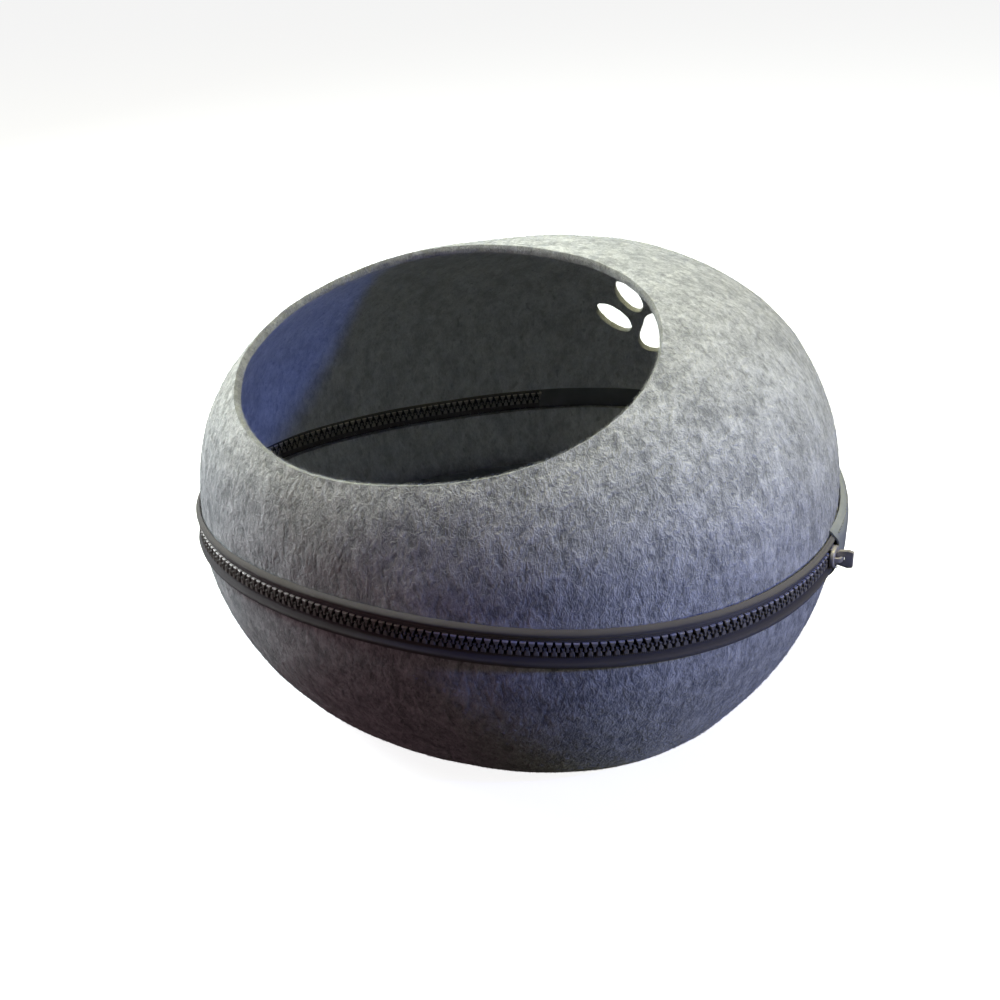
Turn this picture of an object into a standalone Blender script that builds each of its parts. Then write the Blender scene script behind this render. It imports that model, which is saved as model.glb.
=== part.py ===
"""Felt cat cave: a moulded felt dome and bowl joined by a coarse zip, with a cushion inside.

Metres, +Z up. The origin is the middle of the flat base and the mouth faces -Y.
Azimuths are degrees from -Y towards +X, seen from above anticlockwise.
"""
import bpy
import bmesh
from math import acos, asin, atan2, cos, hypot, pi, radians, sin
from mathutils import Matrix, Vector

# ---- the ring where dome and bowl meet
SEAM_Z = 0.126
RING_Y = 0.007
RING_R = 0.200
OVAL = (0.0436, radians(48.0))    # two-sided out-of-round of the soft ring, and its direction
LOBE = (0.0481, radians(91.6))    # three-sided out-of-round
STEP = 5                          # degrees between sections

# ---- felt
FELT = 0.005
FELT_R = 0.1985                   # outer radius at the seam
LIP = 0.0083                      # felt edge above or below the seam plane
DOME = (0.157, 2.33)              # height and fullness of the dome's curve
BOWL = (0.171, 1.77)              # depth and fullness of the bowl's curve
CORNER = 0.102                    # depth where the bowl turns into its flat base
TURN = 0.030                      # reach of that turn on the base
CHAMFER = 0.0010

# ---- mouth: a slanted cut, slightly wavy
MOUTH_TILT = radians(23.9)
MOUTH_D = 0.1439                  # from the ring's middle
MOUTH_Y = -0.090                  # middle of the hole, from the ring's middle
WAVES = ((1, 0.0008, -1.15), (2, 0.0006, 1.09), (3, 0.0009, 2.97), (4, 0.0006, 0.43))

# ---- paw vents in the back
PAW_AZ = -173.0
PAW_Z = 0.058                     # above the seam plane
PAW_LEAN = radians(11.0)
TOES = ((-0.031, 0.021, 28), (-0.013, 0.038, 8), (0.013, 0.038, -8), (0.031, 0.021, -28))
TOE_HALF = (0.0080, 0.0165)
PAD_R = (0.0170, 0.0022)

# ---- zip, as offsets from the ring: (out, up)
TAPE = 0.0012
TAPE_LINE = ((0.0000, 0.0044), (0.0005, 0.0060), (0.0019, 0.0077),
             (0.0024, 0.0094), (0.0016, 0.0111), (0.0002, 0.0124))
CHAIN_OUT = (-0.0022, 0.0014)
CHAIN_UP = 0.00405
PATCH = 0.0014
PATCH_LINE = ((0.0012, -0.0152), (0.0035, -0.0132), (0.0049, -0.0098), (0.0054, -0.0040),
              (0.0054, 0.0040), (0.0049, 0.0098), (0.0035, 0.0132), (0.0012, 0.0152))
TAPE_AZ = (-145.0, 106.4)
CHAIN_AZ = (-145.0, 100.6)
PATCH_AZ = (103.1, 218.0)
SLIDER_AZ = 100.3

# ---- cushion
PAD_GAP = 0.0007
PAD_RIM_ROW = 5                   # bowl row that the cushion's edge reaches
PAD_EDGE = ((0.998, 0.0048), (0.985, 0.0104), (0.962, 0.0140), (0.930, 0.0146))
PAD_DISH = 0.046                  # how far its middle lies below its edge

LOOKS = {
    "shell_upper": ((0.36, 0.37, 0.37), 0.95),
    "shell_lower": ((0.33, 0.34, 0.35), 0.95),
    "tape_upper": ((0.035, 0.034, 0.038), 0.75),
    "tape_lower": ((0.035, 0.034, 0.038), 0.75),
    "zip_chain": ((0.030, 0.030, 0.033), 0.40),
    "zip_slider": ((0.10, 0.10, 0.105), 0.35),
    "zip_pull": ((0.12, 0.12, 0.125), 0.35),
    "hinge_patch": ((0.16, 0.16, 0.15), 0.80),
    "floor_pad": ((0.045, 0.046, 0.050), 0.90),
}


# ---------------------------------------------------------------- helpers

def plan(theta):
    """How far the ring's outline is from round at an angle from +X."""
    return 1 + OVAL[0] * cos(2 * (theta - OVAL[1])) + LOBE[0] * cos(3 * (theta - LOBE[1]))


def angle(azimuth):
    return radians(azimuth - 90)


def loft(name, loops, ring=False):
    """A closed solid through equal loops; a ring joins its last loop to its first."""
    mesh_tool = bmesh.new()
    rows = [[mesh_tool.verts.new(point) for point in loop] for loop in loops]
    pairs = list(zip(rows, rows[1:]))
    if ring:
        pairs.append((rows[-1], rows[0]))
    for low, high in pairs:
        for k in range(len(low)):
            n = (k + 1) % len(low)
            mesh_tool.faces.new((low[k], low[n], high[n], high[k]))
    if not ring:
        mesh_tool.faces.new(rows[0])
        mesh_tool.faces.new(rows[-1])
    bmesh.ops.recalc_face_normals(mesh_tool, faces=mesh_tool.faces)
    mesh = bpy.data.meshes.new(name)
    mesh_tool.to_mesh(mesh)
    mesh_tool.free()
    item = bpy.data.objects.new(name, mesh)
    bpy.context.collection.objects.link(item)
    return item


def paint(item):
    colour, roughness = LOOKS[item.name]
    material = bpy.data.materials.new(item.name)
    material.use_nodes = True
    shader = material.node_tree.nodes["Principled BSDF"]
    shader.inputs["Base Color"].default_value = (*colour, 1)
    shader.inputs["Roughness"].default_value = roughness
    item.data.materials.append(material)
    return item


def box(name, low, high, place=Matrix()):
    """A block between two corners, put in place by a matrix."""
    (x0, y0, z0), (x1, y1, z1) = low, high
    loops = [[(x0, y0, z), (x1, y0, z), (x1, y1, z), (x0, y1, z)] for z in (z0, z1)]
    return loft(name, [[place @ Vector(p) for p in loop] for loop in loops])


def combine(item, others, operation):
    """Unite or cut with helper solids, then drop them."""
    for other in others:
        other.hide_render = True
        other.display_type = "WIRE"
        tool = item.modifiers.new(other.name, "BOOLEAN")
        tool.operation = operation
        tool.solver = "EXACT"
        tool.object = other
    bpy.context.view_layer.update()
    depsgraph = bpy.context.evaluated_depsgraph_get()
    solid = bpy.data.meshes.new_from_object(item.evaluated_get(depsgraph))
    item.modifiers.clear()
    item.data = solid
    for other in others:
        bpy.data.objects.remove(other, do_unlink=True)
    return item


def bevelled(item, width, limit=radians(40)):
    """Round off the sharp edges."""
    mesh_tool = bmesh.new()
    mesh_tool.from_mesh(item.data)
    sharp = [e for e in mesh_tool.edges if e.calc_face_angle(0) > limit]
    bmesh.ops.bevel(mesh_tool, geom=sharp, offset=width, segments=1, affect="EDGES")
    mesh_tool.to_mesh(item.data)
    mesh_tool.free()
    return item


# ---------------------------------------------------------------- felt surfaces

def section_angles():
    return [radians(a) for a in range(0, 360, STEP)]


def dome_point(x, y):
    """The dome's outer face above a point, both measured from the ring's middle."""
    height, full = DOME
    share = min(hypot(x, y) / (FELT_R * plan(atan2(y, x))), 1)
    up = LIP + height * (1 - share ** full) ** (1 / full)
    return Vector((x, RING_Y + y, SEAM_Z + up))


def bowl_point(radius, depth, theta):
    """The bowl's outer face; its base sits a little further forward than its ring."""
    y = RING_Y * (SEAM_Z - depth) / (SEAM_Z - LIP)
    reach = radius * plan(theta)
    return Vector((reach * cos(theta), y + reach * sin(theta), SEAM_Z - depth))


def above_cut(point, phi):
    """Height of a point above the cut of the mouth, at an angle round the hole."""
    wave = sum(size * sin(count * phi + shift) for count, size, shift in WAVES)
    normal = Vector((0, -sin(MOUTH_TILT), cos(MOUTH_TILT)))
    return (point - Vector((0, RING_Y, SEAM_Z))).dot(normal) - MOUTH_D - wave


def rim_xy(phi):
    """The mouth's edge at an angle round the middle of the hole."""
    inside, outside = 0.02, 0.20
    for _ in range(40):
        reach = (inside + outside) / 2
        x, y = reach * cos(phi), MOUTH_Y + reach * sin(phi)
        if above_cut(dome_point(x, y), phi) > 0:
            inside = reach
        else:
            outside = reach
    return inside * cos(phi), MOUTH_Y + inside * sin(phi)


def dome_rows(count):
    """Rows from the seam up to the mouth's edge."""
    full = DOME[1]
    rows = [[] for _ in range(count + 1)]
    for theta in section_angles():
        seam = FELT_R * plan(theta)
        x0, y0 = seam * cos(theta), seam * sin(theta)
        x1, y1 = rim_xy(theta)
        share = hypot(x1, y1) / (FELT_R * plan(atan2(y1, x1)))
        turn = acos(share ** (full / 2))
        for k, row in enumerate(rows):
            w = (1 - cos(turn * k / count) ** (2 / full)) / (1 - share)
            row.append(dome_point(x0 + (x1 - x0) * w, y0 + (y1 - y0) * w))
    return rows


def offset_rows(rows, distance):
    """The same rows of closed loops, moved inwards along the surface normal."""
    moved = []
    for i, row in enumerate(rows):
        below, above = rows[max(i - 1, 0)], rows[min(i + 1, len(rows) - 1)]
        loop = []
        for k, point in enumerate(row):
            along = row[(k + 1) % len(row)] - row[k - 1]
            normal = along.cross(above[k] - below[k]).normalized()
            outward = point - Vector((0, 0, SEAM_Z))
            if normal.dot(outward) < 0:
                normal = -normal
            loop.append(point - normal * distance)
        moved.append(loop)
    return moved


def bowl_rows():
    """Rows from the seam down to the edge of the flat base."""
    depth_all, full = BOWL
    stop = asin(((CORNER - LIP) / depth_all) ** (full / 2))
    line = []
    for k in range(10):
        t = stop * k / 9
        line.append((FELT_R * cos(t) ** (2 / full), LIP + depth_all * sin(t) ** (2 / full)))
    (r0, d0), (r1, d1) = line[-2], line[-1]
    slope = (r1 - r0) / (d1 - d0)
    knee = r1 + slope * 0.9 * (SEAM_Z - d1)
    for k in range(1, 6):
        s = k / 5
        radius = (1 - s) ** 2 * r1 + 2 * s * (1 - s) * knee + s * s * (knee - TURN)
        depth = (1 - s) ** 2 * d1 + (2 * s * (1 - s) + s * s) * SEAM_Z
        line.append((radius, depth))
    return [[bowl_point(r, d, a) for a in section_angles()] for r, d in line]


def level(loop, height):
    return [Vector((p.x, p.y, height)) for p in loop]


# ---------------------------------------------------------------- shells

def paw_frame():
    """Axes on the dome's back: across, up the felt, and out."""
    height, full = DOME
    theta = angle(PAW_AZ)
    share = (1 - ((PAW_Z - LIP) / height) ** full) ** (1 / full)
    reach = share * FELT_R * plan(theta)

    def near(reach, theta):
        return dome_point(reach * cos(theta), reach * sin(theta))

    up = (near(reach - 0.001, theta) - near(reach + 0.001, theta)).normalized()
    across = (near(reach, theta + 0.01) - near(reach, theta - 0.01)).normalized()
    out = across.cross(up).normalized()
    across = up.cross(out)
    frame = Matrix((across, up, out)).transposed().to_4x4()
    frame.translation = near(reach, theta)
    return frame @ Matrix.Rotation(PAW_LEAN, 4, "Z").inverted()


def prism(name, outline, frame):
    return loft(name, [[frame @ Vector((x, y, z)) for x, y in outline] for z in (-0.03, 0.03)])


def paw_cutters():
    frame = paw_frame()
    cutters = []
    turns = [2 * pi * k / 20 for k in range(20)]
    for k, (x, y, lean) in enumerate(TOES):
        a = radians(lean)
        oval = [(TOE_HALF[0] * cos(q), TOE_HALF[1] * sin(q)) for q in turns]
        toe = [(x + u * cos(a) - v * sin(a), y + u * sin(a) + v * cos(a)) for u, v in oval]
        cutters.append(prism("toe_cut_%d" % k, toe, frame))
    heel = []
    for q in turns:
        r = PAD_R[0] + PAD_R[1] * cos(3 * (q - pi / 2))
        heel.append((1.12 * r * cos(q), r * sin(q)))
    cutters.append(prism("heel_cut", heel, frame))
    return cutters


def shell_upper():
    rows = dome_rows(11)
    inner = offset_rows(rows, FELT)
    inner.reverse()
    item = bevelled(loft("shell_upper", rows + inner, ring=True), CHAMFER, radians(55))
    return combine(item, paw_cutters(), "DIFFERENCE")


def shell_lower():
    rows = bowl_rows()
    rows[-1] = level(rows[-1], 0.0)
    inner = offset_rows(rows, FELT)
    inner[-1] = level(inner[-1], FELT)
    rows.reverse()
    item = loft("shell_lower", rows + inner)
    return bevelled(item, CHAMFER, radians(55))


def floor_pad():
    """A soft cushion that follows the bowl and dishes in the middle."""
    rows = bowl_rows()
    rows[-1] = level(rows[-1], 0.0)
    under = offset_rows(rows, FELT + PAD_GAP)
    under[-1] = level(under[-1], FELT + PAD_GAP)
    under = under[PAD_RIM_ROW:]
    under.reverse()
    edge = under[-1]
    middle = sum(edge, Vector()) / len(edge)
    loops = list(under)
    for scale, lift in PAD_EDGE:
        loops.append([middle + (p - middle) * scale + Vector((0, 0, lift)) for p in edge])
    last_scale, last_lift = PAD_EDGE[-1]
    for k in range(1, 8):
        s = 1 - k / 8
        drop = PAD_DISH * (1 - s ** 2) ** 1.2
        flat = [middle + (p - middle) * last_scale * s for p in edge]
        loops.append([p + Vector((0, 0, last_lift - drop)) for p in flat])
    return loft("floor_pad", loops)


# ---------------------------------------------------------------- zip

def ring_point(out, up, azimuth):
    theta = angle(azimuth)
    radius = RING_R * plan(theta) + out
    return Vector((radius * cos(theta), RING_Y + radius * sin(theta), SEAM_Z + up))


def sweep(name, outline, span):
    """A strip of one section along the ring between two azimuths."""
    first, last = span
    stops = [a for a in range(-360, 361, STEP) if first + 0.5 < a < last - 0.5]
    stops = [first] + stops + [last]
    return loft(name, [[ring_point(o, u, a) for o, u in outline] for a in stops])


def strip_outline(line, thickness):
    """A line of (out, up) points given thickness inwards."""
    inner = []
    for i, (out, up) in enumerate(line):
        before, after = line[max(i - 1, 0)], line[min(i + 1, len(line) - 1)]
        along = Vector((after[0] - before[0], after[1] - before[1])).normalized()
        inner.append((out - along.y * thickness, up + along.x * thickness))
    return list(line) + inner[::-1]


def zip_tapes():
    upper = strip_outline(TAPE_LINE, TAPE)
    lower = [(out, -up) for out, up in upper]
    return [sweep("tape_upper", upper, TAPE_AZ), sweep("tape_lower", lower, TAPE_AZ)]


def zip_chain():
    inside, outside = CHAIN_OUT
    cut = 0.0008
    outline = []
    for up in (-CHAIN_UP, CHAIN_UP):
        side = 1 if up > 0 else -1
        corner = [(outside, up - side * cut), (outside - cut, up)]
        corner += [(inside + cut, up), (inside, up - side * cut)]
        outline += corner if side > 0 else corner[::-1]
    return sweep("zip_chain", outline, CHAIN_AZ)


def hinge_patch():
    return sweep("hinge_patch", strip_outline(PATCH_LINE, PATCH), PATCH_AZ)


def slider_frame():
    """X along the zip, Y outwards, Z up."""
    ahead = ring_point(0, 0, SLIDER_AZ + 1) - ring_point(0, 0, SLIDER_AZ - 1)
    along = ahead.normalized()
    up = Vector((0, 0, 1))
    frame = Matrix((along, along.cross(up), up)).transposed().to_4x4()
    frame.translation = ring_point(0, 0, SLIDER_AZ)
    return frame


def zip_slider(frame):
    blocks = [
        ("back", (-0.0070, -0.0046, -0.0060), (0.0070, -0.0029, 0.0060)),
        ("post", (0.0025, -0.0040, -0.0022), (0.0060, 0.0030, 0.0022)),
        ("flange_top", (-0.0068, 0.0013, 0.0052), (0.0068, 0.0030, 0.0065)),
        ("flange_low", (-0.0068, 0.0013, -0.0065), (0.0068, 0.0030, -0.0052)),
        ("leg_front", (-0.0056, 0.0040, -0.0016), (-0.0038, 0.0091, 0.0016)),
        ("leg_rear", (0.0038, 0.0040, -0.0016), (0.0056, 0.0091, 0.0016)),
        ("bar", (-0.0056, 0.0076, -0.0014), (0.0056, 0.0092, 0.0014)),
    ]
    item = box("zip_slider", (-0.0075, 0.0020, -0.0065), (0.0075, 0.0046, 0.0065), frame)
    return combine(item, [box(n, low, high, frame) for n, low, high in blocks], "UNION")


def zip_pull(frame):
    outline = [(0.0050, -0.0034), (0.0064, -0.0048), (0.0118, -0.0058), (0.0148, -0.0050),
               (0.0148, 0.0050), (0.0118, 0.0058), (0.0064, 0.0048), (0.0050, 0.0034)]
    loops = [[frame @ Vector((x, y, z)) for y, z in outline] for x in (-0.0014, 0.0014)]
    eye = box("eye", (-0.01, 0.0070, -0.0021), (0.01, 0.0098, 0.0021), frame)
    return combine(loft("zip_pull", loops), [eye], "DIFFERENCE")


# ---------------------------------------------------------------- build

def main():
    for item in list(bpy.data.objects):
        bpy.data.objects.remove(item, do_unlink=True)
    parts = [shell_upper(), shell_lower(), floor_pad(), zip_chain(), hinge_patch()]
    parts += zip_tapes()
    frame = slider_frame()
    parts += [zip_slider(frame), zip_pull(frame)]
    for part in parts:
        paint(part)


main()
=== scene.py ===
# %% [markdown]
# # A felt cat cave, dressed
# The cave is a moulded felt dome and a felt bowl, zipped together round the
# widest place, with a cushion inside. This notebook loads the plain solids as
# a fixed frame and dresses each of them: fibres on the felt, single teeth in
# the zip, a stuffed cushion. Every cell makes one thing and prints what it made.

import bpy
import bmesh
from math import acos, asin, atan2, cos, hypot, pi, radians, sin
from mathutils import Matrix, Vector, noise
from mathutils.bvhtree import BVHTree
from mathutils.kdtree import KDTree


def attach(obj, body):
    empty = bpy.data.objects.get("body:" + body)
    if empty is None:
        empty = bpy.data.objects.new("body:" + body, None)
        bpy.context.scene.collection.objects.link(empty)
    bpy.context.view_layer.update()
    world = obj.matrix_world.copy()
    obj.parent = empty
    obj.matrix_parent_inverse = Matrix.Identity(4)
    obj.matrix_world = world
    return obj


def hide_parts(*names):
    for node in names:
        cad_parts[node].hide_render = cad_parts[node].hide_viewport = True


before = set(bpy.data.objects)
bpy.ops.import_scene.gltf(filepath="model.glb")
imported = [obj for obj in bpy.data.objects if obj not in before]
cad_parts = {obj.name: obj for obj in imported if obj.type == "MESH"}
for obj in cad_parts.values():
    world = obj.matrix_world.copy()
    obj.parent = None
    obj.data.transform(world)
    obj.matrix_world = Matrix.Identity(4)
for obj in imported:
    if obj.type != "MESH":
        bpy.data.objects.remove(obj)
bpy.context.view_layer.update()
print("nodes:", sorted(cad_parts))

# %% [markdown]
# ## Small helpers
# Objects, nodes and plain materials are made in the same few steps all through
# the notebook, so those steps come first.

# %% Small helpers
def add_object(name, data):
    """Put a mesh, lamp or camera in the scene."""
    item = bpy.data.objects.new(name, data)
    bpy.context.scene.collection.objects.link(item)
    return item


def clamped(share):
    return min(max(share, 0), 1)


def feed(tree, socket, value):
    """Link an output to a socket, or give the socket a constant."""
    if isinstance(value, bpy.types.NodeSocket):
        tree.links.new(value, socket)
    else:
        socket.default_value = value


def node(tree, kind, settings=(), sockets=()):
    """A new node: its settings by name, its sockets by name or number."""
    made = tree.nodes.new(kind)
    for key, value in dict(settings).items():
        setattr(made, key, value)
    for key, value in dict(sockets).items():
        feed(tree, made.inputs[key], value)
    return made


def outlet(tree, kind, settings=(), sockets=(), output=0):
    """One output of such a new node."""
    return node(tree, kind, settings, sockets).outputs[output]


def material(name, **sockets):
    """A Principled material; constant sockets are set by name."""
    made = bpy.data.materials.new(name)
    made.use_nodes = True
    shader = made.node_tree.nodes["Principled BSDF"]
    for key, value in sockets.items():
        shader.inputs[key.replace("_", " ")].default_value = value
    return made, made.node_tree, shader


print("helpers ready")

# %% [markdown]
# ## Camera
# The camera stands in front, a little to the right, and looks down into the
# mouth from about 25 degrees above the floor. A 54 mm lens keeps the round
# shape calm. Its axes are written out, so that nothing has to be aimed.

# %% Camera
LENS_MM, SENSOR_MM = 54.0, 36.0
NEAREST = 0.01
EYE = Vector((0.5366, -0.7142, 0.5372))
VIEW_RIGHT = Vector((0.793443, 0.608233, -0.022400))
VIEW_UP = Vector((-0.237025, 0.342679, 0.909060))


def make_camera():
    data = bpy.data.cameras.new("camera")
    data.lens, data.sensor_width, data.clip_start = LENS_MM, SENSOR_MM, NEAREST
    item = add_object("camera", data)
    back = VIEW_RIGHT.cross(VIEW_UP)
    turn = Matrix((VIEW_RIGHT, VIEW_UP, back)).transposed().to_4x4()
    item.matrix_world = Matrix.Translation(EYE) @ turn
    bpy.context.scene.camera = item
    return item


camera = make_camera()
print("camera at", [round(c, 3) for c in camera.location])

# %% [markdown]
# ## Light and floor
# Felt looks soft when the light comes from large panels. The strongest are a
# cool one on the left and a warm one overhead. A small blue window and a weak
# warm panel stand on the right, and a faint pinkish one in the near left corner.
# The floor is plain and pale, like a light table. It glows for the camera only:
# its bounce is switched off, which keeps the underside of the bowl dark.

# %% Light and floor
LIGHTS = {
    # name: (place, aimed at, width, height, watts, colour)
    "panel_top": ((0.20, 0.15, 1.70), (0.0, 0.0, 0.2), 0.7, 0.7, 20.4, (1.0, 0.99, 0.63)),
    "window_right": ((1.30, 0.05, 0.80), (-0.05, 0.0, 0.18), 0.11, 0.11, 6.6, (0.14, 0.25, 1.0)),
    "panel_right": ((1.35, 0.35, 0.35), (0.0, 0.0, 0.12), 0.8, 0.5, 4.8, (1.0, 0.99, 0.80)),
    "panel_left": ((-1.25, -0.25, 0.85), (0.0, 0.0, 0.15), 0.8, 0.8, 24.6, (0.85, 0.96, 1.0)),
    "panel_corner": ((-0.95, -1.1, 0.35), (0.0, 0.0, 0.1), 0.8, 0.5, 2.2, (1.0, 0.65, 0.75)),
}
FLOOR_SHADE = 0.90
FLOOR_GLOW = 0.88
FLOOR_HALF = 12.0
SKY_LIGHT = 0.02                  # strength of the sky's light, straight up
SKY_SPAN = (-0.1, 0.9)            # upward share of a direction, from dark to full
SKY_COLOUR = (0.96, 0.97, 1.0, 1)


def make_light(name, place, aim, width, height, watts, colour):
    data = bpy.data.lights.new(name, "AREA")
    data.shape = "RECTANGLE"
    data.size, data.size_y = width, height
    data.energy, data.color = watts, colour
    item = add_object(name, data)
    item.location = place
    item.rotation_mode = "QUATERNION"
    item.rotation_quaternion = (Vector(aim) - Vector(place)).to_track_quat("-Z", "Y")


for light_name, light_facts in LIGHTS.items():
    make_light(light_name, *light_facts)


def make_floor():
    mesh = bpy.data.meshes.new("floor")
    corners = [(x * FLOOR_HALF, y * FLOOR_HALF, 0)
               for x, y in ((-1, -1), (1, -1), (1, 1), (-1, 1))]
    mesh.from_pydata(corners, [], [(0, 1, 2, 3)])
    item = add_object("floor", mesh)
    paint = material("floor_paint", Base_Color=(FLOOR_SHADE,) * 3 + (1,), Roughness=0.9,
                     Emission_Color=(1, 1, 1, 1), Emission_Strength=FLOOR_GLOW)[0]
    mesh.materials.append(paint)
    item.visible_diffuse = item.visible_glossy = False
    return item


def make_world():
    """White for the camera; for light, pale above and dark below."""
    world = bpy.data.worlds.new("studio")
    bpy.context.scene.world = world
    world.use_nodes = True
    tree = world.node_tree
    ways = outlet(tree, "ShaderNodeTexCoord", output="Generated")
    height = outlet(tree, "ShaderNodeSeparateXYZ", (), {0: ways}, "Z")
    sky = outlet(tree, "ShaderNodeMapRange", (), {
        "Value": height, "From Min": SKY_SPAN[0], "From Max": SKY_SPAN[1],
        "To Min": 0.0, "To Max": SKY_LIGHT})
    seen = outlet(tree, "ShaderNodeLightPath", output="Is Camera Ray")
    shade = tree.nodes["Background"].inputs
    feed(tree, shade["Strength"], outlet(tree, "ShaderNodeMix", (), {0: seen, 2: sky, 3: 1.0}))
    feed(tree, shade["Color"], SKY_COLOUR)


floor = make_floor()
make_world()
bpy.context.scene.view_settings.view_transform = "Standard"
print("lights:", ", ".join(LIGHTS))

# %% [markdown]
# ## The ring and the two felt surfaces
# Everything follows one soft, slightly out-of-round ring, the seam. The dome
# and the bowl are superellipses that start on it. The same named sizes shape
# the solids of the frame, so what is built here starts out exactly on them.

# %% Named sizes
SEAM_Z = 0.126
RING_Y = 0.007
RING_R = 0.200
OVAL = (0.0436, radians(48.0))
LOBE = (0.0481, radians(91.6))
FELT = 0.005
FELT_R = 0.1985
LIP = 0.0083
DOME = (0.157, 2.33)
BOWL = (0.171, 1.77)
CORNER = 0.102
TURN = 0.030
MOUTH_TILT = radians(23.9)
MOUTH_D = 0.1439
MOUTH_Y = -0.090
WAVES = ((1, 0.0008, -1.15), (2, 0.0006, 1.09), (3, 0.0009, 2.97), (4, 0.0006, 0.43))
SECTIONS = 240
MIDDLE = Vector((0, RING_Y, SEAM_Z))          # of the ring
CORE = Vector((0, 0, SEAM_Z))                 # on the upright line through the base's middle


def plan(theta):
    """How far the ring's outline is from round at an angle from +X."""
    return 1 + OVAL[0] * cos(2 * (theta - OVAL[1])) + LOBE[0] * cos(3 * (theta - LOBE[1]))


def ring_point(out, up, azimuth):
    """A point beside the ring; azimuth in degrees from -Y towards +X."""
    theta = radians(azimuth - 90)
    radius = RING_R * plan(theta) + out
    return Vector((radius * cos(theta), RING_Y + radius * sin(theta), SEAM_Z + up))


def dome_point(x, y):
    height, full = DOME
    share = min(hypot(x, y) / (FELT_R * plan(atan2(y, x))), 1)
    up = LIP + height * (1 - share ** full) ** (1 / full)
    return Vector((x, RING_Y + y, SEAM_Z + up))


def bowl_point(radius, depth, theta):
    y = RING_Y * (SEAM_Z - depth) / (SEAM_Z - LIP)
    reach = radius * plan(theta)
    return Vector((reach * cos(theta), y + reach * sin(theta), SEAM_Z - depth))


def above_cut(point, phi):
    wave = sum(size * sin(count * phi + shift) for count, size, shift in WAVES)
    normal = Vector((0, -sin(MOUTH_TILT), cos(MOUTH_TILT)))
    return (point - MIDDLE).dot(normal) - MOUTH_D - wave



def rim_xy(phi):
    """The mouth's edge at an angle round the middle of the hole."""
    inside, outside = 0.02, 0.20
    for _ in range(40):
        reach = (inside + outside) / 2
        x, y = reach * cos(phi), MOUTH_Y + reach * sin(phi)
        if above_cut(dome_point(x, y), phi) > 0:
            inside = reach
        else:
            outside = reach
    return inside * cos(phi), MOUTH_Y + inside * sin(phi)


print("ring from %.0f to %.0f mm in radius" % (
    1000 * min(RING_R * plan(t / 10) for t in range(63)),
    1000 * max(RING_R * plan(t / 10) for t in range(63))))

# %% Rows of points over dome and bowl
def turns(count):
    return [2 * pi * k / count for k in range(count)]


def dome_rows(count):
    """Rows from the seam up to the mouth's edge."""
    full = DOME[1]
    rows = [[] for _ in range(count + 1)]
    for theta in turns(SECTIONS):
        seam = FELT_R * plan(theta)
        x0, y0 = seam * cos(theta), seam * sin(theta)
        x1, y1 = rim_xy(theta)
        share = hypot(x1, y1) / (FELT_R * plan(atan2(y1, x1)))
        turn = acos(share ** (full / 2))
        for k, row in enumerate(rows):
            w = (1 - cos(turn * k / count) ** (2 / full)) / (1 - share)
            row.append(dome_point(x0 + (x1 - x0) * w, y0 + (y1 - y0) * w))
    return rows


def bowl_line(wall, corner):
    """(radius, depth) of the bowl's outer face, from seam to flat base."""
    depth_all, full = BOWL
    stop = asin(((CORNER - LIP) / depth_all) ** (full / 2))
    line = []
    for k in range(wall + 1):
        t = stop * k / wall
        line.append((FELT_R * cos(t) ** (2 / full), LIP + depth_all * sin(t) ** (2 / full)))
    (r0, d0), (r1, d1) = line[-2], line[-1]
    slope = (r1 - r0) / (d1 - d0)
    knee = r1 + slope * 0.9 * (SEAM_Z - d1)
    for k in range(1, corner + 1):
        s = k / corner
        radius = (1 - s) ** 2 * r1 + 2 * s * (1 - s) * knee + s * s * (knee - TURN)
        depth = (1 - s) ** 2 * d1 + (2 * s * (1 - s) + s * s) * SEAM_Z
        line.append((radius, depth))
    return line


def base_rows(row, count):
    """Rows that close the flat base towards its middle."""
    middle = sum(row, Vector()) / len(row)
    return [[middle + (p - middle) * (1 - k / (count + 1)) for p in row]
            for k in range(1, count + 1)]


def offset_rows(rows, distance):
    """The same rows moved inwards along the surface's normal."""
    moved = []
    for i, row in enumerate(rows):
        below, above = rows[max(i - 1, 0)], rows[min(i + 1, len(rows) - 1)]
        loop = []
        for k, point in enumerate(row):
            along = row[(k + 1) % len(row)] - row[k - 1]
            normal = along.cross(above[k] - below[k]).normalized()
            if normal.dot(point - CORE) < 0:
                normal = -normal
            loop.append(point - normal * distance)
        moved.append(loop)
    return moved



outer_dome = dome_rows(44)
outer_bowl = [[bowl_point(r, d, a) for a in turns(SECTIONS)] for r, d in bowl_line(30, 12)]
print("dome rows", len(outer_dome), "bowl rows", len(outer_bowl))

# %% [markdown]
# ## Felt shells
# Each shell is a 5 mm thick sheet of needle felt, pressed over a mould. I loft
# an outer and an inner skin, join them over the cut edges, and let a slow
# noise move both skins together, because pressed felt is never quite smooth.
# The cut edges get their own finish, since a knife opens the fibres there.

# %% Helpers for meshes
CRISP = 50                        # degrees between faces, from which felt shows an edge


def mesh_of(tool, name):
    mesh = bpy.data.meshes.new(name)
    tool.to_mesh(mesh)
    tool.free()
    return mesh


def smooth(item, crisp=None):
    """Shade smooth, but keep edges crisp from so many degrees on."""
    item.data.shade_smooth()
    if crisp:
        item.data.set_sharp_from_angle(angle=radians(crisp))
    return item


def hidden(name, tool):
    """A small source object for a tree to copy; it isn't drawn itself."""
    item = add_object(name, mesh_of(tool, name))
    item.hide_render = item.hide_viewport = True
    return item


def band(tool, low, high):
    """Four-sided faces between two closed rows of points."""
    count = len(low)
    return [tool.faces.new((low[k], low[(k + 1) % count], high[(k + 1) % count], high[k]))
            for k in range(count)]


def closed(tool, *ends):
    """Close the ends with one face each and turn all faces outwards."""
    for row in ends:
        tool.faces.new(row)
    bmesh.ops.recalc_face_normals(tool, faces=tool.faces)
    return tool


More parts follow.
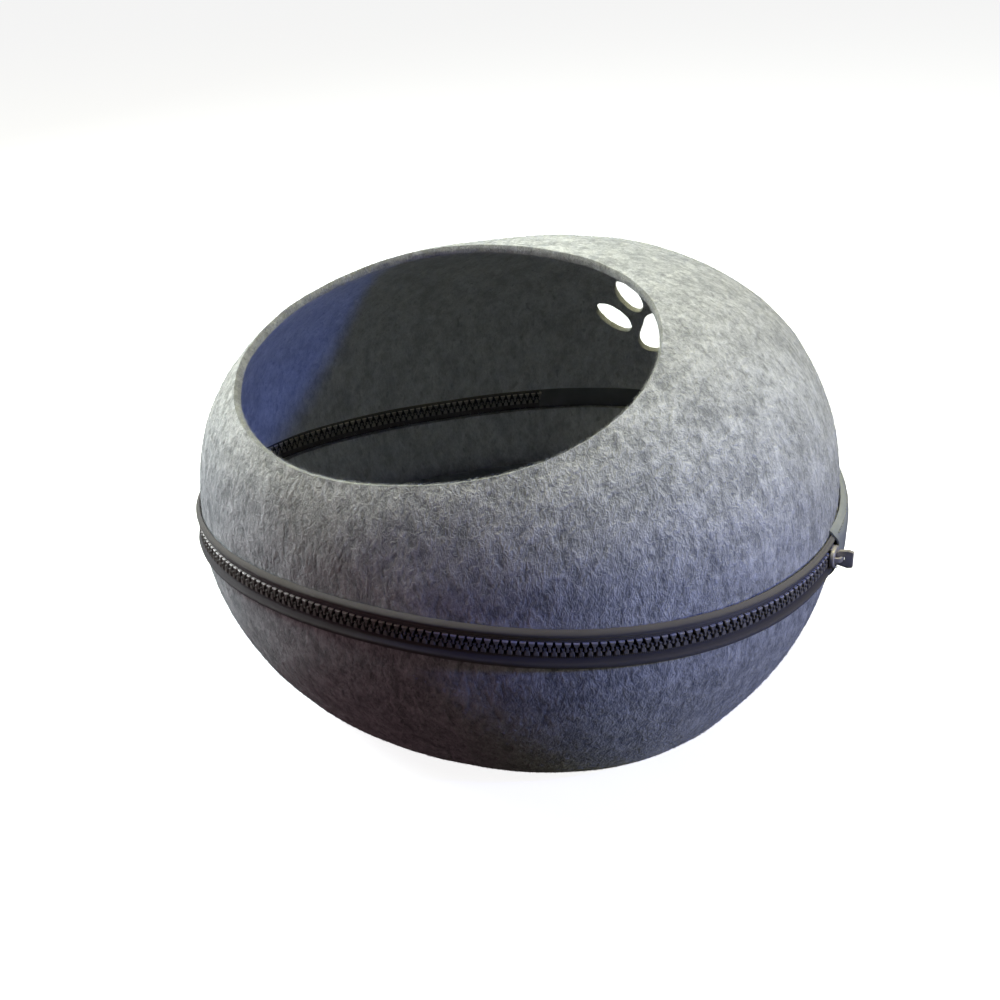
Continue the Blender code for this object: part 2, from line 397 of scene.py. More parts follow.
def tube(rows):
    """A closed shape through rows of points."""
    tool = bmesh.new()
    made = [[tool.verts.new(p) for p in row] for row in rows]
    for low, high in zip(made, made[1:]):
        band(tool, low, high)
    return closed(tool, made[0], made[-1])


def loft(name, rows, close_rows=False, caps=(False, False), edges=()):
    """A skin through equal closed rows; rows listed in edges get material 1."""
    tool = bmesh.new()
    made = [[tool.verts.new(p) for p in row] for row in rows]
    pairs = list(zip(made, made[1:])) + ([(made[-1], made[0])] if close_rows else [])
    for k, (low, high) in enumerate(pairs):
        for face in band(tool, low, high):
            face.material_index = 1 if k in edges else 0
    for cap, row in zip(caps, (made[0], made[-1])):
        if cap:
            middle = tool.verts.new(sum((v.co for v in row), Vector()) / len(row))
            for k in range(len(row)):
                tool.faces.new((row[k], row[(k + 1) % len(row)], middle))
    return smooth(add_object(name, mesh_of(closed(tool), name)), CRISP)


print("mesh helpers ready")

# %% Helpers for finished pieces
def settle(item):
    """Bake an object's modifiers into its mesh."""
    bpy.context.view_layer.update()
    depsgraph = bpy.context.evaluated_depsgraph_get()
    solid = bpy.data.meshes.new_from_object(item.evaluated_get(depsgraph))
    item.modifiers.clear()
    item.data = solid
    return item


def combined(item, others, operation):
    """Join others to an object, or cut it with them, and take them away."""
    for other in others:
        step = item.modifiers.new(other.name, "BOOLEAN")
        step.operation, step.solver, step.object = operation, "EXACT", other
    settle(item)
    for other in others:
        bpy.data.objects.remove(other, do_unlink=True)
    return item


def wear(item, *finishes):
    """Give an object these finishes and no others."""
    item.data.materials.clear()
    for finish in finishes:
        item.data.materials.append(finish)


def swell(point, size=0.0007, grain=22.0):
    """A slow, shallow unevenness, the same on both skins."""
    drift = noise.noise(point * grain) + 0.5 * noise.noise(point * grain * 2.3)
    return point + (point - CORE).normalized() * drift * size



def cut_edge(outer, inner, count=4, crown=0.0006, rough=0.0005, seed=0.0):
    """Rows across a cut edge, from outer to inner, slightly crowned and ragged."""
    rows = []
    for k in range(1, count):
        s = k / count
        row = []
        for i, (a, b) in enumerate(zip(outer, inner)):
            away = (outer[(i + 1) % len(outer)] - outer[i - 1]).cross(b - a).normalized()
            ragged = noise.noise((a + b) * 210 + Vector((seed, 0, k)))
            row.append(a.lerp(b, s) + away * (crown * 4 * s * (1 - s) + rough * ragged))
        rows.append(row)
    return rows


print("piece helpers ready")

# %% Dome and bowl
def dome_shell():
    outer = [[swell(p) for p in row] for row in outer_dome]
    inner = [[swell(p) for p in row] for row in offset_rows(outer_dome, FELT)]
    rim = cut_edge(outer[-1], inner[-1], seed=3.0)
    hem = cut_edge(inner[0], outer[0], crown=0.0, rough=0.0)
    first = len(outer) - 1
    edges = range(first, first + len(rim) + 1)
    return loft("felt_dome", outer + rim + inner[::-1] + hem, close_rows=True, edges=edges)


def bowl_shell():
    rows = outer_bowl
    outer = [[swell(p) for p in row] for row in rows]
    outer[-1] = [Vector((p.x, p.y, 0.0)) for p in outer[-1]]
    under = base_rows(outer[-1], 4)
    inner = [[swell(p) for p in row] for row in offset_rows(rows, FELT)]
    inner[-1] = [Vector((p.x, p.y, FELT)) for p in inner[-1]]
    floor_rows = base_rows(inner[-1], 4)
    hem = cut_edge(outer[0], inner[0], crown=0.0, rough=0.0)
    chain = under[::-1] + outer[::-1] + hem + inner + floor_rows
    first = len(under) + len(outer) - 1
    edges = range(first, first + len(hem) + 1)
    return loft("felt_bowl", chain, caps=(True, True), edges=edges)


felt_dome = dome_shell()
felt_bowl = bowl_shell()
print("dome faces", len(felt_dome.data.polygons), "bowl faces", len(felt_bowl.data.polygons))

# %% [markdown]
# ## Paw vents
# The back of the dome has a paw cut through it: four toes and a heel. I cut
# them with an exact Boolean. The cutters carry the cut-edge finish, so the new
# walls of each hole look like a knife cut and not like pressed felt.

# %% Paw vents
PAW_AZ = -173.0
PAW_Z = 0.058
PAW_LEAN = radians(11.0)
TOES = ((-0.031, 0.021, 28), (-0.013, 0.038, 8), (0.013, 0.038, -8), (0.031, 0.021, -28))
TOE_HALF = (0.0080, 0.0165)
HEEL_R = (0.0170, 0.0022)
HEEL_WIDER = 1.12
VENT_DEPTHS = [-0.03 + 0.001 * k for k in range(61)]
VENT_ROUGH = 0.02



def paw_frame():
    height, full = DOME
    theta = radians(PAW_AZ - 90)
    share = (1 - ((PAW_Z - LIP) / height) ** full) ** (1 / full)
    reach = share * FELT_R * plan(theta)

    def near(r, t):
        return dome_point(r * cos(t), r * sin(t))

    up = (near(reach - 0.001, theta) - near(reach + 0.001, theta)).normalized()
    across = (near(reach, theta + 0.01) - near(reach, theta - 0.01)).normalized()
    out = across.cross(up).normalized()
    across = up.cross(out)
    place = Matrix((across, up, out)).transposed().to_4x4()
    place.translation = near(reach, theta)
    return place @ Matrix.Rotation(PAW_LEAN, 4, "Z").inverted()


def vent_outlines():
    shapes = []
    for x, y, lean in TOES:
        a = radians(lean)
        oval = [(TOE_HALF[0] * cos(q), TOE_HALF[1] * sin(q)) for q in turns(40)]
        shapes.append([(x + u * cos(a) - v * sin(a), y + u * sin(a) + v * cos(a))
                       for u, v in oval])
    heel = []
    for q in turns(48):
        r = HEEL_R[0] + HEEL_R[1] * cos(3 * (q - pi / 2))
        heel.append((HEEL_WIDER * r * cos(q), r * sin(q)))
    return shapes + [heel]


def knife_cut(x, y, z):
    """A point of a vent's wall, a little uneven."""
    wide = 1 + VENT_ROUGH * noise.noise(Vector((x * 300, y * 300, z * 400)))
    tall = 1 + VENT_ROUGH * noise.noise(Vector((y * 300, x * 300, z * 400)))
    return Vector((x * wide, y * tall, z))


def cut_vents(item, place):
    for count, outline in enumerate(vent_outlines()):
        rows = [[place @ knife_cut(x, y, z) for x, y in outline] for z in VENT_DEPTHS]
        cutter = loft("vent_cutter_%d" % count, rows, caps=(True, True), edges=range(60))
        two_slots(cutter)
        combined(item, [cutter], "DIFFERENCE")


def two_slots(item):
    """Empty slots for pressed and cut felt, which the Boolean carries over."""
    for _ in range(2):
        item.data.materials.append(None)


for shell in (felt_dome, felt_bowl):
    two_slots(shell)
cut_vents(felt_dome, paw_frame())
smooth(felt_dome, CRISP)
print("dome with vents:", len(felt_dome.data.polygons), "faces")

# %% [markdown]
# ## Zip tapes
# The zip is sewn on with its tapes lying over the felt's edge. Each tape is a
# woven strip: a flat part by the teeth, then a soft roll over the cut felt.
# Its mesh is one thin sheet swept round the ring, with a UV map in metres, so
# that the twill runs along the tape wherever the tape goes.

# %% Sweep helper and tapes
TAPE = 0.0011
PRESS_OVER = 6.0                  # degrees
TAPES_MEET = 102.3
MEET_OVER = 0.6                   # degrees in which the tapes' inner edges come together
MEET_LIFT = 0.0024
MEET_BELOW, MEET_FADE = 0.0060, 0.0040        # up to this height on a tape, fading out
CORNER_FROM, CORNER_FADE = 0.0065, 0.0060     # from this height on a strip, fading in
RIPPLE_GRAIN = 90
TAPE_AZ = (-145.0, 106.4)
TAPE_LINE = ((-0.0009, 0.00005), (0.0000, 0.0044), (0.0005, 0.0060), (0.0019, 0.0077),
             (0.0024, 0.0094), (0.0016, 0.0111), (0.0002, 0.0124))


def smooth_line(line, count):
    """A rounder line through the same points (Catmull-Rom)."""
    points = [Vector(p) for p in line]
    points = [2 * points[0] - points[1]] + points + [2 * points[-1] - points[-2]]
    made = []
    for k in range(1, len(points) - 2):
        a, b, c, d = points[k - 1:k + 3]
        for step in range(count):
            t = step / count
            made.append(0.5 * (2 * b + (c - a) * t + (2 * a - 5 * b + 4 * c - d) * t ** 2
                               + (3 * b - a - 3 * c + d) * t ** 3))
    return made + [points[-2]]


def ring_stops(span, step=1.0):
    count = round((span[1] - span[0]) / step)
    return [span[0] + (span[1] - span[0]) * k / count for k in range(count + 1)]


def sheet_section(line, thickness):
    """A line of (out, up) given thickness towards the inside of the ring."""
    back = []
    for k, point in enumerate(line):
        along = (line[min(k + 1, len(line) - 1)] - line[max(k - 1, 0)]).normalized()
        back.append(point + Vector((-along.y, along.x)) * thickness)
    return back


def swept_sheet(name, line, thickness, span, mirror=False, ripple=0.0, press=0.0,
                meet=None, reach=0.0):
    """A thin sheet along the ring; u runs with the ring and v across it.

    press lowers the first degrees of the sheet onto what lies under them, meet
    lifts the inner edge of a tape past an azimuth, and reach draws the corners
    of the first edge forward.
    """
    front = smooth_line(line, 3)
    section = front + sheet_section(front, thickness)[::-1]
    side = -1 if mirror else 1
    rows, lengths, run, before = [], [], 0.0, None
    for azimuth in ring_stops(span):
        ease = clamped((azimuth - span[0]) / PRESS_OVER)
        lower = press * (1 - ease * ease * (3 - 2 * ease))
        lift = MEET_LIFT * clamped((azimuth - meet) / MEET_OVER) if meet else 0.0
        row = []
        for out, up in section:
            out += lift * clamped((MEET_BELOW - up) / MEET_FADE)
            forward = reach * (1 - ease) * clamped((abs(up) - CORNER_FROM) / CORNER_FADE)
            point = ring_point(out - lower, side * up, azimuth - forward)
            bulge = ripple * noise.noise(point * RIPPLE_GRAIN)
            row.append(point + (point - MIDDLE).normalized() * bulge)
        here = ring_point(0, 0, azimuth)
        run += (here - before).length if before else 0.0
        before = here
        rows.append(row)
        lengths.append(run)
    across = [0.0]
    for a, b in zip(front, front[1:]):
        across.append(across[-1] + (b - a).length)
    across = across + across[::-1]
    tool = bmesh.new()
    uv = tool.loops.layers.uv.new("cloth")
    made = [[tool.verts.new(p) for p in row] for row in rows]
    for r in range(len(made) - 1):
        for k, face in enumerate(band(tool, made[r], made[r + 1])):
            n = (k + 1) % len(across)
            spots = ((r, k), (r, n), (r + 1, n), (r + 1, k))
            for corner, (i, j) in zip(face.loops, spots):
                corner[uv].uv = (lengths[i], across[j])
    item = add_object(name, mesh_of(closed(tool, made[0], made[-1]), name))
    item["run"], item["across"] = lengths[-1], across[len(front) - 1]
    return smooth(item, 60)


zip_tape_upper, zip_tape_lower = [
    swept_sheet(name, TAPE_LINE, TAPE, TAPE_AZ, mirror=low, ripple=0.0002, meet=TAPES_MEET)
    for name, low in (("zip_tape_upper", False), ("zip_tape_lower", True))]
print("tape: %.0f mm long, %.1f mm wide" % (
    1000 * zip_tape_upper["run"], 1000 * zip_tape_upper["across"]))

# %% [markdown]
# ## Hinge strip
# At the back the zip stops and the two shells stay joined by a strip of
# binding cloth over both edges. It is the same sweep, only wider and domed.

# %% Hinge strip
PATCH = 0.0013
PATCH_AZ = (102.5, 218.0)
CORNER_REACH = 1.5                # degrees by which its corners reach past the slider
PATCH_LINE = ((-0.0004, -0.0155), (0.0020, -0.0140), (0.0045, -0.0100), (0.0052, -0.0040),
              (0.0052, 0.0040), (0.0045, 0.0100), (0.0020, 0.0140), (-0.0004, 0.0155))

hinge_strip = swept_sheet("hinge_strip", PATCH_LINE, PATCH, PATCH_AZ, ripple=0.0003,
                          press=0.0009, reach=CORNER_REACH)
print("strip: %.0f mm long, %.1f mm wide" % (
    1000 * hinge_strip["run"], 1000 * hinge_strip["across"]))

# %% [markdown]
# ## Zip teeth
# A coarse moulded zip has one row of teeth on each tape, and the two rows sit
# half a step apart so that each head drops into its neighbours' necks. That is
# one small mesh repeated along a path: Geometry Nodes turns the ring line into
# a curve, cuts it into equal steps and sets one tooth on each, facing along
# the curve. The same tree lays both rows, and later the stitches.

# %% One tooth
TOOTH_IN, TOOTH_OUT = -0.0022, 0.0014
PITCH = 0.00487
# half of a tooth's outline: (half width, height over the middle of the chain)
TOOTH_UPPER = ((0.00172, 0.00405), (0.00168, 0.00310), (0.00130, 0.00210), (0.00062, 0.00125),
               (0.00048, 0.00055), (0.00050, -0.00005), (0.00084, -0.00055),
               (0.00080, -0.00115), (0.00042, -0.00155))
TOOTH_LOWER = ((0.00146, 0.00405), (0.00150, 0.00230), (0.00118, 0.00170), (0.00056, 0.00105),
               (0.00046, 0.00060), (0.00052, 0.00015), (0.00088, -0.00030),
               (0.00080, -0.00080), (0.00040, -0.00065))

TOOTH_MIDDLE = 0.0012
# a tooth's slices from outside to inside: (y, size)
TOOTH_SLICES = ((-TOOTH_OUT, 0.74), (-TOOTH_OUT + 0.0004, 1.0), (-TOOTH_IN - 0.0003, 1.0),
                (-TOOTH_IN, 0.8))


def tooth(name, half, turn):
    """X along the zip, -Y outwards; with a turn of -1 the tooth points up."""
    outline = [(w * turn, h * turn) for w, h in half]
    outline += [(-w * turn, h * turn) for w, h in reversed(half)]
    middle = TOOTH_MIDDLE * turn
    tool = tube([[Vector((x * size, y, middle + (z - middle) * (0.5 + 0.5 * size)))
                  for x, z in outline] for y, size in TOOTH_SLICES])
    bmesh.ops.triangulate(tool, faces=[f for f in tool.faces if len(f.verts) > 4])
    return hidden(name, tool)


tooth_down = tooth("tooth_down", TOOTH_UPPER, 1)
tooth_up = tooth("tooth_up", TOOTH_LOWER, -1)
print("faces per tooth:", len(tooth_down.data.polygons), len(tooth_up.data.polygons))

# %% A tree that sets one piece at each step of a line
def geometry_tree(name, sockets):
    """A tree with these inputs, and the outlets that bring them in."""
    tree = bpy.data.node_groups.new(name, "GeometryNodeTree")
    for key, kind in sockets.items():
        tree.interface.new_socket(key, in_out="INPUT", socket_type="NodeSocket" + kind)
    tree.interface.new_socket("Result", in_out="OUTPUT", socket_type="NodeSocketGeometry")
    return tree, tree.nodes.new("NodeGroupInput").outputs


def handed_over(tree, entry, placed_pieces, angles):
    """Turn what was placed, make it real, give it its finish and pass it on."""
    turned = outlet(tree, "GeometryNodeRotateInstances", (),
                    {"Instances": placed_pieces, "Rotation": angles})
    real = outlet(tree, "GeometryNodeRealizeInstances", (), {0: turned})
    paint = outlet(tree, "GeometryNodeSetMaterial", (),
                   {"Geometry": real, "Material": entry["Finish"]})
    feed(tree, tree.nodes.new("NodeGroupOutput").inputs[0], paint)
    return tree


def steps_tree():
    tree, entry = geometry_tree("steps_along_line", {
        "Line": "Geometry", "Piece": "Object", "Step": "Float", "Start": "Float",
        "End": "Float", "Wobble": "Float", "Finish": "Material"})
    curve = outlet(tree, "GeometryNodeMeshToCurve", (), {"Mesh": entry["Line"]})
    # the trim node lists factor sockets first, then length sockets
    trim = outlet(tree, "GeometryNodeTrimCurve", {"mode": "LENGTH"},
                  {"Curve": curve, 4: entry["Start"], 5: entry["End"]})
    cut = outlet(tree, "GeometryNodeResampleCurve", {"mode": "LENGTH"},
                 {"Curve": trim, "Length": entry["Step"]})
    along = outlet(tree, "FunctionNodeAlignRotationToVector", {"axis": "X", "pivot_axis": "Z"},
                   {"Vector": outlet(tree, "GeometryNodeInputTangent")})
    piece = outlet(tree, "GeometryNodeObjectInfo", (), {"Object": entry["Piece"]}, "Geometry")
    place = outlet(tree, "GeometryNodeInstanceOnPoints", (),
                   {"Points": cut, "Rotation": along, "Instance": piece})
    shake = outlet(tree, "FunctionNodeRandomValue", {"data_type": "FLOAT_VECTOR"},
                   {"Seed": 7, 0: (-1, -1, -1), 1: (1, 1, 1)})
    wobble = outlet(tree, "ShaderNodeVectorMath", {"operation": "SCALE"},
                    {0: shake, "Scale": entry["Wobble"]})
    return handed_over(tree, entry, place, wobble)


def grown(name, source, tree, **values):
    """Run a tree on a mesh and keep the plain mesh that it makes."""
    item = add_object(name, source)
    step = item.modifiers.new("grow", "NODES")
    step.node_group = tree
    for socket in tree.interface.items_tree:
        if socket.in_out == "INPUT" and socket.name in values:
            step[socket.identifier] = values[socket.name]
    return settle(item)


def ring_line(out, up, span):
    """The line of a sweep as a mesh of edges, and its length."""
    points = [ring_point(out, up, a) for a in ring_stops(span, 0.5)]
    mesh = bpy.data.meshes.new("line")
    mesh.from_pydata(points, [(k, k + 1) for k in range(len(points) - 1)], [])
    return mesh, sum((b - a).length for a, b in zip(points, points[1:]))


STEPS = steps_tree()
print("tree:", STEPS.name, "with", len(STEPS.nodes), "nodes")

# %% [markdown]
# ## Finishes
# Effects that several materials share are node groups: `felt_nap` gives the
# streaky look of pressed fibres, `twill` the ribs of a woven tape, and
# `handling` the slight dulling and polish of things that are touched. Each
# group only puts out masks and heights; the shader stays in the material.

# %% Node helpers
def math(tree, operation, a, b=None, clamp=False):
    sockets = {0: a} if b is None else {0: a, 1: b}
    return outlet(tree, "ShaderNodeMath", {"operation": operation, "use_clamp": clamp}, sockets)


def weighed(tree, *parts, clamp=False):
    """The sum of outlets times their weights."""
    terms = [math(tree, "MULTIPLY", value, weight) for value, weight in parts]
    total = terms[0]
    for k, term in enumerate(terms[1:], 2):
        total = math(tree, "ADD", total, term, clamp and k == len(terms))
    return total


def noise_node(tree, vector, scale, detail=2.0, roughness=0.5, distortion=0.0):
    return outlet(tree, "ShaderNodeTexNoise", (), {
        "Vector": vector, "Scale": scale, "Detail": detail, "Roughness": roughness,
        "Distortion": distortion}, "Fac")


def spread(tree, value, low, high, to_low=0.0, to_high=1.0):
    return outlet(tree, "ShaderNodeMapRange", (), {
        "Value": value, "From Min": low, "From Max": high, "To Min": to_low, "To Max": to_high})


def mixed(tree, share, first, second):
    """Blend two colours; each is three numbers or an outlet."""
    colours = [(*c, 1) if isinstance(c, tuple) else c for c in (first, second)]
    return outlet(tree, "ShaderNodeMix", {"data_type": "RGBA"},
                  {0: share, 6: colours[0], 7: colours[1]}, 2)


def object_coords(tree):
    return outlet(tree, "ShaderNodeTexCoord", output="Object")


def group(name, inputs, outputs):
    """A shader group with float inputs {name: value}; gives its inner outlets and inlets."""
    tree = bpy.data.node_groups.new(name, "ShaderNodeTree")
    for key, value in inputs.items():
        socket = tree.interface.new_socket(key, in_out="INPUT", socket_type="NodeSocketFloat")
        socket.default_value = value
    for key in outputs:
        tree.interface.new_socket(key, in_out="OUTPUT", socket_type="NodeSocketFloat")
    entry, leave = tree.nodes.new("NodeGroupInput"), tree.nodes.new("NodeGroupOutput")
    return tree, entry.outputs, leave.inputs


def placed(tree, shared, **values):
    return node(tree, "ShaderNodeGroup", {"node_tree": shared}, values).outputs


def dressed(tree, shader, colour, rough, relief):
    """Colour; roughness (mask, from, to); relief (height, strength, distance)."""
    feed(tree, shader.inputs["Base Color"], colour)
    feed(tree, shader.inputs["Roughness"], spread(tree, rough[0], 0, 1, *rough[1:]))
    height, strength, distance = relief
    feed(tree, shader.inputs["Normal"], outlet(tree, "ShaderNodeBump", (), {
        "Strength": strength, "Distance": distance, "Height": height}))


print("node helpers ready")

# %% Shared groups
NAP_STRETCH = (1.0, 1.0, 0.54)    # fibres run up and down
HAIR_WIDE = 0.11                  # of the noise, either side of its middle
NAP_MIDDLE, NAP_CONTRAST = 1.02, 2.2


def felt_nap():
    """Curly fibres in the felt: thin light hairs, soft tufts and wide clouds."""
    tree, entry, leave = group("felt_nap", {"Fibre": 300.0, "Tuft": 125.0, "Cloud": 40.0},
                               ("Tone", "Height", "Speck"))
    coords = object_coords(tree)
    flow = outlet(tree, "ShaderNodeMapping", (), {"Scale": NAP_STRETCH, "Vector": coords})
    fibre = entry["Fibre"]

    def finer(times):
        return math(tree, "MULTIPLY", fibre, times)

    def hairs(scale, distortion):
        """Ridges of a noise: lines where it passes its middle value."""
        value = noise_node(tree, flow, scale, 1.5, 0.5, distortion)
        away = math(tree, "ABSOLUTE", math(tree, "SUBTRACT", value, 0.5))
        return spread(tree, away, 0.0, HAIR_WIDE, 1.0, 0.0)

    hair = math(tree, "ADD", hairs(fibre, 1.2), hairs(finer(1.7), 0.8))
    fine = noise_node(tree, flow, finer(1.4), 3.0, 0.7)
    mid = noise_node(tree, flow, finer(0.75), 2.0, 0.6, 0.8)
    tuft = noise_node(tree, flow, entry["Tuft"], 2.0, 0.6, 0.8)
    cloud = noise_node(tree, coords, entry["Cloud"], 2.0, 0.6)
    tone = weighed(tree, (hair, 0.11), (fine, 0.30), (mid, 0.50), (tuft, 0.70), (cloud, 0.30))
    sharp = math(tree, "MULTIPLY", math(tree, "SUBTRACT", tone, NAP_MIDDLE), NAP_CONTRAST)
    feed(tree, leave["Tone"], math(tree, "ADD", sharp, 0.5, clamp=True))
    both = math(tree, "ADD", tuft, mid)
    feed(tree, leave["Height"], weighed(tree, (fine, 0.45), (both, 0.9), (hair, 0.14)))
    speck = noise_node(tree, flow, finer(0.62), 1.0, 0.5)
    feed(tree, leave["Speck"], spread(tree, speck, 0.66, 0.76))
    return tree


def twill():
    """Woven ribs from a UV map in metres: diagonals that turn in a zigzag."""
    tree, entry, leave = group("twill", {"Thread": 0.0009, "Zigzag": 0.0024, "Lean": 1.0},
                               ("Rib", "Along", "Across"))
    uv = outlet(tree, "ShaderNodeUVMap", {"uv_map": "cloth"})
    along, across, _ = node(tree, "ShaderNodeSeparateXYZ", (), {0: uv}).outputs
    zig = math(tree, "PINGPONG", across, entry["Zigzag"])
    slant = math(tree, "ADD", along, math(tree, "MULTIPLY", zig, entry["Lean"]))
    turns_at = math(tree, "DIVIDE", slant, entry["Thread"])
    wave = math(tree, "SINE", math(tree, "MULTIPLY", turns_at, 2 * pi))
    feed(tree, leave["Rib"], spread(tree, wave, -1.0, 1.0))
    feed(tree, leave["Along"], along)
    feed(tree, leave["Across"], across)
    return tree


def handling():
    """Slow and fine unevenness of a thing that is touched and wiped."""
    tree, entry, leave = group("handling", {"Size": 60.0, "Grain": 900.0}, ("Worn", "Grain"))
    coords = object_coords(tree)
    worn = noise_node(tree, coords, entry["Size"], 3.0, 0.55)
    feed(tree, leave["Worn"], spread(tree, worn, 0.35, 0.65))
    feed(tree, leave["Grain"], noise_node(tree, coords, entry["Grain"], 2.0, 0.6))
    return tree


FELT_NAP = felt_nap()
TWILL = twill()
HANDLING = handling()
print("groups:", FELT_NAP.name, TWILL.name, HANDLING.name)

# %% Felt, outside, inside and cut
FLECKS = 0.6                      # how much a fleck covers the felt's own colour
HOLLOW = Vector((0, RING_Y, SEAM_Z * 0.9))


def felt_finish(name, dark, light, speck, strength=0.8, fibre=300.0):
    made, tree, shader = material(name, Roughness=0.96, Specular_IOR_Level=0.15,
                                  Sheen_Weight=0.4, Sheen_Roughness=0.55)
    nap = placed(tree, FELT_NAP, Fibre=fibre)
    shade = mixed(tree, nap["Tone"], dark, light)
    shade = mixed(tree, math(tree, "MULTIPLY", nap["Speck"], FLECKS), shade, speck)
    dressed(tree, shader, shade, (nap["Tone"], 0.99, 0.88), (nap["Height"], strength, 0.0012))
    return made


FELT_UPPER = felt_finish("felt_upper", (0.32, 0.325, 0.33), (0.88, 0.88, 0.87),
                         (0.22, 0.22, 0.23))
FELT_LOWER = felt_finish("felt_lower", (0.28, 0.285, 0.29), (0.84, 0.84, 0.83),
                         (0.20, 0.20, 0.21))
FELT_CUT = felt_finish("felt_cut", (0.28, 0.28, 0.265), (0.62, 0.62, 0.58), (0.22, 0.22, 0.2),
                       strength=1.0, fibre=700.0)
FELT_INSIDE = felt_finish("felt_inside", (0.42, 0.425, 0.43), (0.70, 0.705, 0.71),
                          (0.30, 0.30, 0.31), strength=0.5, fibre=420.0)

for shell, outside in ((felt_dome, FELT_UPPER), (felt_bowl, FELT_LOWER)):
    shell.data.materials.append(None)
    for slot_number, finish in enumerate((outside, FELT_CUT, FELT_INSIDE)):
        shell.data.materials[slot_number] = finish
    for face in shell.data.polygons:
        if face.material_index == 0 and face.normal.dot(face.center - HOLLOW) <= 0:
            face.material_index = 2
print("felt finishes:", ", ".join(m.name for m in felt_dome.data.materials))

# %% Woven and moulded finishes
TAPE_GAP = (0.0042, 0.0036)       # from the chain's middle, plain to dark
TAPE_MARKS = ((0.0045, 0.0048), (0.0057, 0.0053))       # the row of small marks: in, out
MARK_STEP = 0.00122
# painted shade: the tape's colour deep between the teeth
PAINTED_SHADE_BETWEEN_TEETH = (0.012, 0.012, 0.012)
# painted highlight on the upper teeth's top edges: how much lighter, and over what height it
# fades in
PAINTED_HIGHLIGHT_GAIN, PAINTED_HIGHLIGHT_FADE = 2.4, 0.0003


def tape_finish(name, plain, ribbed_and_lit, ribs):
    """Painted shade between the teeth, plain beside them, ribbed and painted lighter where it
    rolls over the felt.
    """
    made, tree, shader = material(name, Roughness=0.7, Specular_IOR_Level=0.12,
                                  Sheen_Weight=0.25)
    weave = placed(tree, TWILL, Thread=0.00098, Zigzag=0.0012, Lean=0.9)
    hand = placed(tree, HANDLING, Size=45.0, Grain=1500.0)
    across = weave["Across"]
    # where the tape rolls over the felt it is ribbed and lighter: partly the twill, partly
    # painted light on the roll
    on_felt = spread(tree, across, *ribs)
    marks = math(tree, "SINE", math(tree, "MULTIPLY", weave["Along"], 2 * pi / MARK_STEP))
    beside = math(tree, "MULTIPLY", *(spread(tree, across, *edge) for edge in TAPE_MARKS))
    rib = math(tree, "MULTIPLY", weave["Rib"], on_felt)
    mark = math(tree, "MULTIPLY", spread(tree, marks, 0.0, 0.8), beside)
    mask = weighed(tree, (on_felt, 0.35), (math(tree, "ADD", rib, mark), 0.55),
                   (hand["Grain"], 0.2), clamp=True)
    # near the chain's middle the tape is painted near-black: painted shade between the teeth
    shade = mixed(tree, spread(tree, across, *TAPE_GAP), mixed(tree, mask, plain, ribbed_and_lit),
                  PAINTED_SHADE_BETWEEN_TEETH)
    relief = weighed(tree, (rib, 1.0), (mark, 1.2), (hand["Grain"], 0.5))
    dressed(tree, shader, shade, (hand["Worn"], 0.66, 0.82), (relief, 0.6, 0.0003))
    return made


def moulded_finish(name, dark, light, rough, highlight_above=None, **sockets):
    """Hard plastic or lacquer; above a height its top edges may get a painted highlight."""
    made, tree, shader = material(name, **sockets)
    hand = placed(tree, HANDLING, Size=150.0, Grain=2600.0)
    shade = mixed(tree, hand["Worn"], dark, light)
    # painted highlight: the colour turns lighter above a height, standing in for light on the
    # top edges
    if highlight_above:
        height = outlet(tree, "ShaderNodeSeparateXYZ", (), {0: object_coords(tree)}, "Z")
        edge = spread(tree, height, highlight_above, highlight_above + PAINTED_HIGHLIGHT_FADE)
        shade = mixed(tree, edge, shade, tuple(min(1.0, PAINTED_HIGHLIGHT_GAIN * c) for c in light))
    dressed(tree, shader, shade, (hand["Worn"], *rough), (hand["Grain"], 0.15, 0.0001))
    return made


def woven_finish(name, dark, light, rough, strength, shine):
    """A plain weave from fine crossing ribs, with a slow unevenness."""
    made, tree, shader = material(name, Specular_IOR_Level=shine)
    one, two = [placed(tree, TWILL, Thread=0.0011, Zigzag=10.0, Lean=lean)["Rib"]
                for lean in (1.0, -1.0)]
    cross = math(tree, "MULTIPLY", one, two)
    hand = placed(tree, HANDLING, Size=60.0, Grain=1400.0)
    mask = weighed(tree, (cross, 0.4), (hand["Worn"], 0.6), clamp=True)
    dressed(tree, shader, mixed(tree, mask, dark, light), (hand["Grain"], *rough),
            (math(tree, "ADD", cross, hand["Grain"]), strength, 0.0002))
    return made


def brushed_finish(name, dark, light):
    """Dark cloth with a short brushed pile, for the cushion."""
    made, tree, shader = material(name, Roughness=0.9, Specular_IOR_Level=0.2,
                                  Sheen_Weight=0.35, Sheen_Roughness=0.5)
    nap = placed(tree, FELT_NAP, Fibre=900.0, Tuft=260.0, Cloud=40.0)
    dressed(tree, shader, mixed(tree, nap["Tone"], dark, light), (nap["Tone"], 0.95, 0.82),
            (nap["Height"], 0.35, 0.0006))
    return made


TAPE_UPPER_FINISH = tape_finish("tape_upper_cloth", (0.092, 0.084, 0.082), (0.20, 0.18, 0.165),
                                (0.0066, 0.0074))
TAPE_LOWER_FINISH = tape_finish("tape_lower_cloth", (0.075, 0.066, 0.064), (0.15, 0.135, 0.13),
                                (0.0080, 0.0095))
# the strip's faces turned into the cave: the same binding cloth, painted darker as shade
STRIP_INSIDE_PAINTED_SHADE = woven_finish("binding_inside_painted_shade", (0.15, 0.15, 0.152), (0.22, 0.22, 0.222),
                             (0.7, 0.85), 0.3, 0.2)
